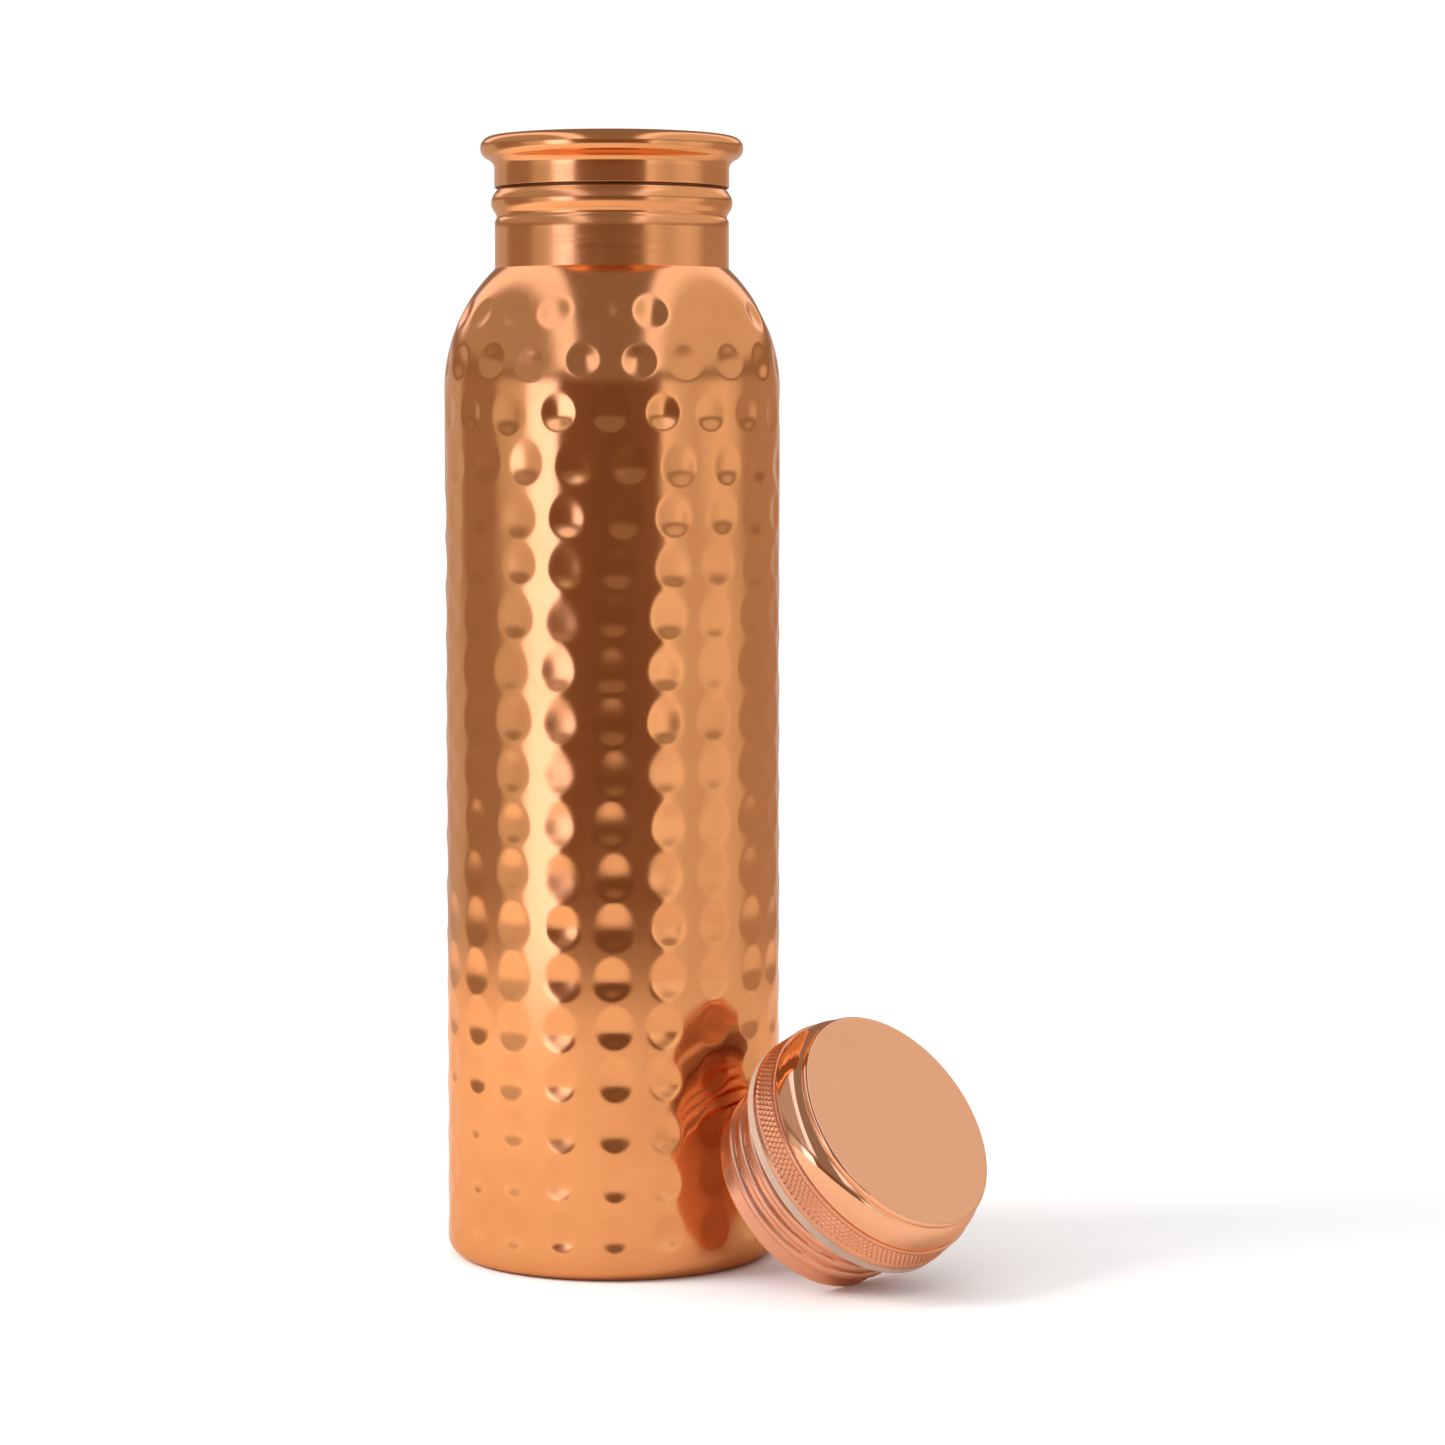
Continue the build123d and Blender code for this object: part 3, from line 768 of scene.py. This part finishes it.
def table_top(name, colour, mirror_colour, fade_start, fade_end):
    """Matt pale table with the faintest mottling, warmer and softer edged where the copper mirrors it."""
    material, nodes, shader, place = new_material(name)
    mottle = nodes.noise(place, 30.0, 3.0, 0.5)
    mirrored = nodes.add("ShaderNodeLightPath").outputs["Is Glossy Ray"]
    tint = nodes.blend(mirrored, (*colour, 1), (*mirror_colour, 1))
    base = nodes.blend(nodes.spread(mottle, 0.3, 0.7, 0.0, 0.03), tint, (0.8, 0.8, 0.8, 1))
    out = nodes.add("ShaderNodeVectorMath", {0: place}, operation="LENGTH").outputs["Value"]
    lost = nodes.math("MULTIPLY", nodes.spread(out, fade_start, fade_end, 0.0, 1.0), mirrored)
    shader.inputs["Roughness"].default_value = 0.75
    shader.inputs["Specular IOR Level"].default_value = 0.2
    return wired(material, shader, {"Base Color": base, "Alpha": nodes.math("SUBTRACT", 1.0, lost)})


# ---------------------------------------------------------------- stage

# What the walls of the studio show to the metal at table height: (direction in degrees from the
# front, positive to the right; red, green, blue).
STUDIO_WALLS = (
    (-180, (0.31, 0.30, 0.31)),
    (-127, (0.31, 0.30, 0.31)),
    (-122, (0.19, 0.14, 0.12)),
    (-88, (0.19, 0.14, 0.12)),
    (-82, (0.33, 0.29, 0.27)),
    (-62, (0.40, 0.37, 0.36)),
    (-57, (0.98, 0.98, 1.30)),
    (-39, (1.02, 1.02, 1.40)),
    (-36, (0.120, 0.068, 0.044)),
    (0, (0.092, 0.052, 0.032)),
    (32, (0.120, 0.068, 0.044)),
    (35, (0.60, 0.56, 0.56)),
    (46, (0.42, 0.385, 0.37)),
    (58, (0.35, 0.310, 0.29)),
    (72, (0.45, 0.415, 0.40)),
    (84, (0.47, 0.430, 0.41)),
    (97, (0.34, 0.30, 0.28)),
    (102, (0.25, 0.195, 0.17)),
    (150, (0.25, 0.195, 0.17)),
    (156, (0.30, 0.28, 0.28)),
    (180, (0.31, 0.30, 0.31)),
)
# What hangs above them, in strips that run from front to back: (place of the strip, from -1 at the
# far left to 1 at the far right; red, green, blue).
STUDIO_CEILING = (
    (-1.00, (0.28, 0.25, 0.24)),
    (-0.66, (0.28, 0.25, 0.24)),
    (-0.58, (0.80, 0.80, 1.00)),
    (-0.42, (0.85, 0.85, 1.10)),
    (-0.36, (0.145, 0.118, 0.105)),
    (0.33, (0.145, 0.118, 0.105)),
    (0.38, (0.80, 0.80, 1.00)),
    (0.50, (0.75, 0.75, 0.90)),
    (0.60, (0.47, 0.44, 0.43)),
    (1.00, (0.45, 0.42, 0.41)),
)
# The cornice between walls and ceiling.
CORNICE_COLOUR = (0.165, 0.122, 0.098, 1)
CORNICE_LEFT_ABOVE = 0.25
# The white that everything but the metal sees.
WHITE_STRENGTH = 1.05

TABLE_BEVEL = 0.004
TABLE_BEVEL_DROP = 0.002
TABLE_THICKNESS = 0.020


def colour_ramp(nodes, along, stops, reach):
    """Colours across the studio, between minus and plus the reach."""
    ramp = nodes.add("ShaderNodeValToRGB", {"Fac": along})
    elements = ramp.color_ramp.elements
    elements.remove(elements[-1])
    for i, (where, colour) in enumerate(stops):
        place = 0.5 + where / (2 * reach)
        stop = elements[0] if i == 0 else elements.new(place)
        stop.position = place
        stop.color = (*colour, 1)
    return ramp.outputs["Color"]


def studio_world(settings):
    """Studio of panels and dark gaps that only the metal sees; the camera and the table see white."""
    world = bpy.data.worlds.new("studio")
    world.use_nodes = True
    tree = world.node_tree
    tree.nodes.clear()
    nodes = Nodes(tree)
    way = nodes.add("ShaderNodeTexCoord").outputs["Generated"]
    parts = nodes.add("ShaderNodeSeparateXYZ", {"Vector": way}).outputs
    front = nodes.math("MULTIPLY", parts["Y"], -1.0)
    turn = nodes.math("ARCTAN2", parts["X"], front)
    along = nodes.math("MULTIPLY_ADD", turn, 1 / tau, 0.5)
    up = nodes.math("ARCSINE", parts["Z"])
    above = nodes.spread(up, settings.cornice, settings.ceiling_foot, 0.0, 1.0)
    across = nodes.math("MULTIPLY_ADD", parts["X"], 0.5, 0.5)
    walls = colour_ramp(nodes, along, STUDIO_WALLS, 180)
    ceiling = colour_ramp(nodes, across, STUDIO_CEILING, 1)
    panels = nodes.blend(above, walls, ceiling)
    cornice = nodes.math("MULTIPLY", nodes.spread(up, settings.wall_top, settings.cornice, 0.0, 1.0),
                         nodes.spread(up, settings.cornice, settings.ceiling_foot, 1.0,
                                      CORNICE_LEFT_ABOVE))
    panels = nodes.blend(cornice, panels, CORNICE_COLOUR)
    glow = nodes.add("ShaderNodeBackground", {"Color": panels, "Strength": settings.studio_brightness})
    white = nodes.add("ShaderNodeBackground", {"Color": (1, 1, 1, 1), "Strength": WHITE_STRENGTH})
    mirrored = nodes.add("ShaderNodeLightPath").outputs["Is Glossy Ray"]
    mix = nodes.add("ShaderNodeMixShader", {0: mirrored, 1: white.outputs[0], 2: glow.outputs[0]})
    output = nodes.add("ShaderNodeOutputWorld")
    tree.links.new(mix.outputs[0], output.inputs["Surface"])
    bpy.context.scene.world = world


def round_table(settings):
    """Pale round table top that the bottle stands on."""
    radius = settings.table_radius
    outline = [
        (0.0, 0.0), (radius - TABLE_BEVEL, 0.0), (radius, -TABLE_BEVEL_DROP),
        (radius, -TABLE_THICKNESS), (0.0, -TABLE_THICKNESS),
    ]
    table = lathe("table_top", outline, 96, sharp=30)
    table.data.materials.append(table_top("pale table", settings.table_colour, settings.table_mirrored,
                                          settings.table_fade, radius))


def key_light(settings):
    """Large soft lamp up on the left that throws the faint shadow to the right."""
    data = bpy.data.lights.new("key", "AREA")
    data.shape = "DISK"
    data.size = settings.key_size
    data.energy = settings.key_power
    data.color = (1.0, 0.97, 0.94)
    lamp = bpy.data.objects.new("key", data)
    bpy.context.scene.collection.objects.link(lamp)
    lamp.location = settings.key_place
    lamp.rotation_euler = (-Vector(settings.key_place)).to_track_quat("-Z", "Y").to_euler()
    lamp.visible_glossy = False


def camera(settings):
    """Camera in front of the bottle, a little above its middle."""
    data = bpy.data.cameras.new("camera")
    data.lens = settings.lens
    data.sensor_width = 36.0
    eye = bpy.data.objects.new("camera", data)
    bpy.context.scene.collection.objects.link(eye)
    eye.location = (0.0, -settings.camera_distance, settings.camera_height)
    eye.rotation_euler = (pi / 2 - settings.camera_pitch, 0.0, -settings.camera_turn)
    bpy.context.scene.camera = eye


# ---------------------------------------------------------------- settings


def length(name, description, default):
    """A length setting in metres."""
    return FloatProperty(name=name, description=description, default=default, unit="LENGTH", precision=5)


def hue(name, description, default):
    """A colour setting."""
    return FloatVectorProperty(name=name, description=description, default=default, subtype="COLOR",
                               size=3, min=0.0, max=1.0)


def angle(name, description, degrees_default):
    """An angle setting, given here in degrees."""
    return FloatProperty(name=name, description=description, default=radians(degrees_default),
                         subtype="ANGLE", unit="ROTATION")


class BottleSettings(PropertyGroup):
    """Sizes and colours of the bottle."""

    dent_columns: IntProperty(name="Dent columns", description="Hammer dents round the body", default=20)
    dent_pitch: length("Dent spacing", "Distance between rows of dents", 0.01105)
    dent_first: length("First row", "Height of the lowest row of dents", 0.0100)
    dent_bare_top: length("Bare top", "Plain margin under the neck", 0.0120)
    dent_width: length("Dent width", "Width of one dent", 0.0094)
    dent_depth: length("Dent depth", "Depth of one dent", 0.00042)
    dent_wander: length("Dent wander", "How far the blows miss their places", 0.00030)
    flat_depth: length("Flat depth", "Depth of the flats between the columns of dents", 0.00013)
    fine_step: length("Mesh step", "Distance between points of the hammered wall", 0.00055)
    seed: IntProperty(name="Seed", description="Seed of the hammer's unevenness", default=7)
    body_colour: hue("Body copper", "Colour of the hammered copper", (0.84, 0.385, 0.150))
    neck_colour: hue("Neck copper", "Colour of the brushed copper", (0.84, 0.385, 0.155))
    inner_colour: hue("Inner copper", "Colour of the unpolished copper inside", (0.78, 0.38, 0.22))
    # Painted shade: near-black copper given to the faces down in the seam groove, where shade falls.
    seam_shade_colour: hue("Seam painted shade", "Painted shade down in the seam groove", (0.16, 0.06, 0.025))
    body_rough: FloatProperty(name="Body roughness", description="Roughness of the body", default=0.13)
    neck_rough: FloatProperty(name="Neck roughness", description="Roughness of the neck", default=0.12)


class CapSettings(PropertyGroup):
    """Sizes and colours of the cap."""

    knurl_count: IntProperty(name="Knurl count", description="Diamonds round the grip ring", default=136)
    knurl_rows: IntProperty(name="Knurl rows", description="Rows of diamonds", default=5)
    knurl_depth: length("Knurl depth", "Depth of the knurl", 0.00036)
    cover_colour: hue("Cover copper", "Colour of the mirror polished cover", (0.95, 0.52, 0.30))
    grip_colour: hue("Grip copper", "Colour of the knurled ring", (0.88, 0.44, 0.26))
    plug_colour: hue("Plug copper", "Colour of the threaded plug", (0.90, 0.47, 0.30))
    gasket_colour: hue("Gasket", "Colour of the silicone washer", (0.47, 0.32, 0.24))
    cover_rough: FloatProperty(name="Cover roughness", description="Roughness of the cover", default=0.04)
    plug_rough: FloatProperty(name="Plug roughness", description="Roughness of the plug", default=0.24)


class StageSettings(PropertyGroup):
    """Table, light and camera."""

    table_radius: length("Table radius", "Radius of the round table", 0.60)
    table_fade: length("Table fade", "Radius where the mirrored table starts to fade out", 0.38)
    table_colour: hue("Table colour", "Colour of the table", (0.92, 0.92, 0.92))
    table_mirrored: hue("Table in the copper", "Colour of the table as the copper shows it",
                        (0.72, 0.62, 0.58))
    wall_top: angle("Wall top", "How far up the walls reach", 3.0)
    cornice: angle("Cornice", "How far up the brown cornice lies", 9.0)
    ceiling_foot: angle("Ceiling foot", "How far up the ceiling begins", 15.0)
    studio_brightness: FloatProperty(name="Studio brightness", description="Strength of the studio",
                                     default=2.0)
    key_place: FloatVectorProperty(name="Key place", description="Place of the key lamp", size=3,
                                   default=(-1.3, -0.25, 0.95), subtype="TRANSLATION", unit="LENGTH")
    key_size: length("Key size", "Width of the key lamp", 0.9)
    key_power: FloatProperty(name="Key power", description="Power of the key lamp", default=22.0,
                             unit="POWER")
    lens: FloatProperty(name="Lens", description="Focal length in millimetres", default=99.4, unit="CAMERA")
    camera_distance: length("Camera distance", "Distance of the camera", 0.8844)
    camera_height: length("Camera height", "Height of the camera", 0.1842)
    camera_pitch: angle("Camera pitch", "How far the camera looks down", 4.256)
    camera_turn: angle("Camera turn", "How far the camera is turned to the right", 1.577)


# ---------------------------------------------------------------- operators


class BOTTLE_OT_body(Operator):
    """Build the hammered body and its base pan"""

    bl_idname = "bottle.body"
    bl_label = "Body and base"

    def execute(self, context):
        settings = context.scene.bottle
        material = copper("hammered copper", settings.body_colour, settings.body_rough, 0.22, scratches=0.5)
        finish_piece(hammered_body(settings), "bottle", "hammered_copper", material, "body_shell")
        pan = lathe("base_pan_disc", base_pan(), 160, closed=False)
        material = copper("pan copper", settings.inner_colour, 0.30, 0.5, grain=0.4)
        finish_piece(pan, "bottle", "plain_copper", material, "base_pan")
        return {"FINISHED"}


class BOTTLE_OT_neck(Operator):
    """Build the neck tube, the mouth ring and the thread sleeve"""

    bl_idname = "bottle.neck"
    bl_label = "Neck and mouth"

    def execute(self, context):
        settings = context.scene.bottle
        brushed = copper("brushed copper", settings.neck_colour, settings.neck_rough, 0.2, lines=1.6)
        finish_piece(lathe("neck", neck_tube(), 320), "bottle", "brushed_copper", brushed, "neck_tube")
        turned = copper("turned copper", settings.neck_colour, settings.neck_rough * 0.9, 0.2, lines=1.2)
        mouth = lathe("mouth", mouth_ring(), 320)
        finish_piece(mouth, "bottle", "polished_copper", turned, "mouth_ring")
        # Painted shade: the faces down in the seam groove get a near-black copper, standing in for the shade
        # that falls there.
        mouth.data.materials.append(copper("seam painted shade", settings.seam_shade_colour, 0.4, 0.6))
        for face in mouth.data.polygons:
            x, y, z = face.center
            low_enough = z < COLLAR_FOOT + 1.2 * SEAM_HEIGHT
            in_shaded_seam = low_enough and NECK_BORE < hypot(x, y) < NECK_RADIUS - 0.1 * SEAM_DEPTH
            face.material_index = int(in_shaded_seam)
        outline, cut = thread_sleeve()
        sleeve = lathe("mouth_thread", outline, 240, shape=cut, sharp=60)
        plain = copper("sleeve copper", settings.inner_colour, 0.28, 0.4, lines=0.6)
        finish_piece(sleeve, "bottle", "plain_copper", plain, "thread_sleeve")
        return {"FINISHED"}


class BOTTLE_OT_cap(Operator):
    """Build the cap's cover, knurled ring, gasket and plug"""

    bl_idname = "bottle.cap"
    bl_label = "Screw cap"

    def execute(self, context):
        settings = context.scene.bottle_cap
        place = cap_frame()
        mirror = copper("mirror copper", settings.cover_colour, settings.cover_rough, 0.10, scratches=0.0,
                        worn=0.0, laid=place)
        cover = lathe("cap_mirror_cover", cap_cover(), 320)
        finish_piece(cover, "cap", "mirror_copper", mirror, "cap_cover", place=place)
        grip_steps = 4
        ring = lathe(
            "cap_grip_ring", knurled_ring(settings.knurl_rows, 2 * grip_steps),
            settings.knurl_count * grip_steps,
            shape=knurl_shape(settings.knurl_count, settings.knurl_rows, settings.knurl_depth), sharp=32,
        )
        # The knurled ring gets painted shade in the hollows of its knurl.
        grip = copper("knurled copper", settings.grip_colour, 0.22, 0.3, scratches=0.3, worn=0.5,
                      hollow_shade=0.7, laid=place)
        finish_piece(ring, "cap", "knurled_copper", grip, "knurled_ring", place=place)
        outline, roll = plug()
        body = lathe("cap_threaded_plug", outline, 320, shape=roll, sharp=50)
        satin = copper("satin copper", settings.plug_colour, settings.plug_rough, 0.25, lines=0.9, laid=place)
        finish_piece(body, "cap", "satin_copper", satin, "cap_plug", place=place)
        washer = lathe("silicone_washer", gasket(), 240)
        rubber = silicone("silicone", settings.gasket_colour, laid=place)
        finish_piece(washer, "gasket", "silicone", rubber, "cap_gasket", place=place)
        return {"FINISHED"}


class BOTTLE_OT_stage(Operator):
    """Set the table, the studio light and the camera"""

    bl_idname = "bottle.stage"
    bl_label = "Stage"

    def execute(self, context):
        settings = context.scene.bottle_stage
        round_table(settings)
        studio_world(settings)
        key_light(settings)
        camera(settings)
        context.scene.view_settings.view_transform = "Standard"
        context.scene.view_settings.look = "None"
        return {"FINISHED"}


class VIEW3D_PT_bottle(Panel):
    """Sidebar panel that lists the bottle's operators and settings"""

    bl_label = "Hammered Copper Bottle"
    bl_category = "Bottle"
    bl_space_type = "VIEW_3D"
    bl_region_type = "UI"

    def draw(self, context):
        layout = self.layout
        for operator in (BOTTLE_OT_body, BOTTLE_OT_neck, BOTTLE_OT_cap, BOTTLE_OT_stage):
            layout.operator(operator.bl_idname)
        for group in (context.scene.bottle, context.scene.bottle_cap, context.scene.bottle_stage):
            box = layout.box()
            for key in group.bl_rna.properties.keys():
                if key not in ("rna_type", "name"):
                    box.prop(group, key)


CLASSES = (
    BottleSettings, CapSettings, StageSettings,
    BOTTLE_OT_body, BOTTLE_OT_neck, BOTTLE_OT_cap, BOTTLE_OT_stage, VIEW3D_PT_bottle,
)


def register():
    """Add the classes and their settings to Blender."""
    for item in CLASSES:
        bpy.utils.register_class(item)
    bpy.types.Scene.bottle = PointerProperty(type=BottleSettings)
    bpy.types.Scene.bottle_cap = PointerProperty(type=CapSettings)
    bpy.types.Scene.bottle_stage = PointerProperty(type=StageSettings)


def unregister():
    """Take them away again."""
    del bpy.types.Scene.bottle_stage
    del bpy.types.Scene.bottle_cap
    del bpy.types.Scene.bottle
    for item in reversed(CLASSES):
        bpy.utils.unregister_class(item)


def main():
    """Build everything in order."""
    register()
    bpy.ops.bottle.body()
    bpy.ops.bottle.neck()
    bpy.ops.bottle.cap()
    bpy.ops.bottle.stage()


if __name__ == "__main__":
    main()
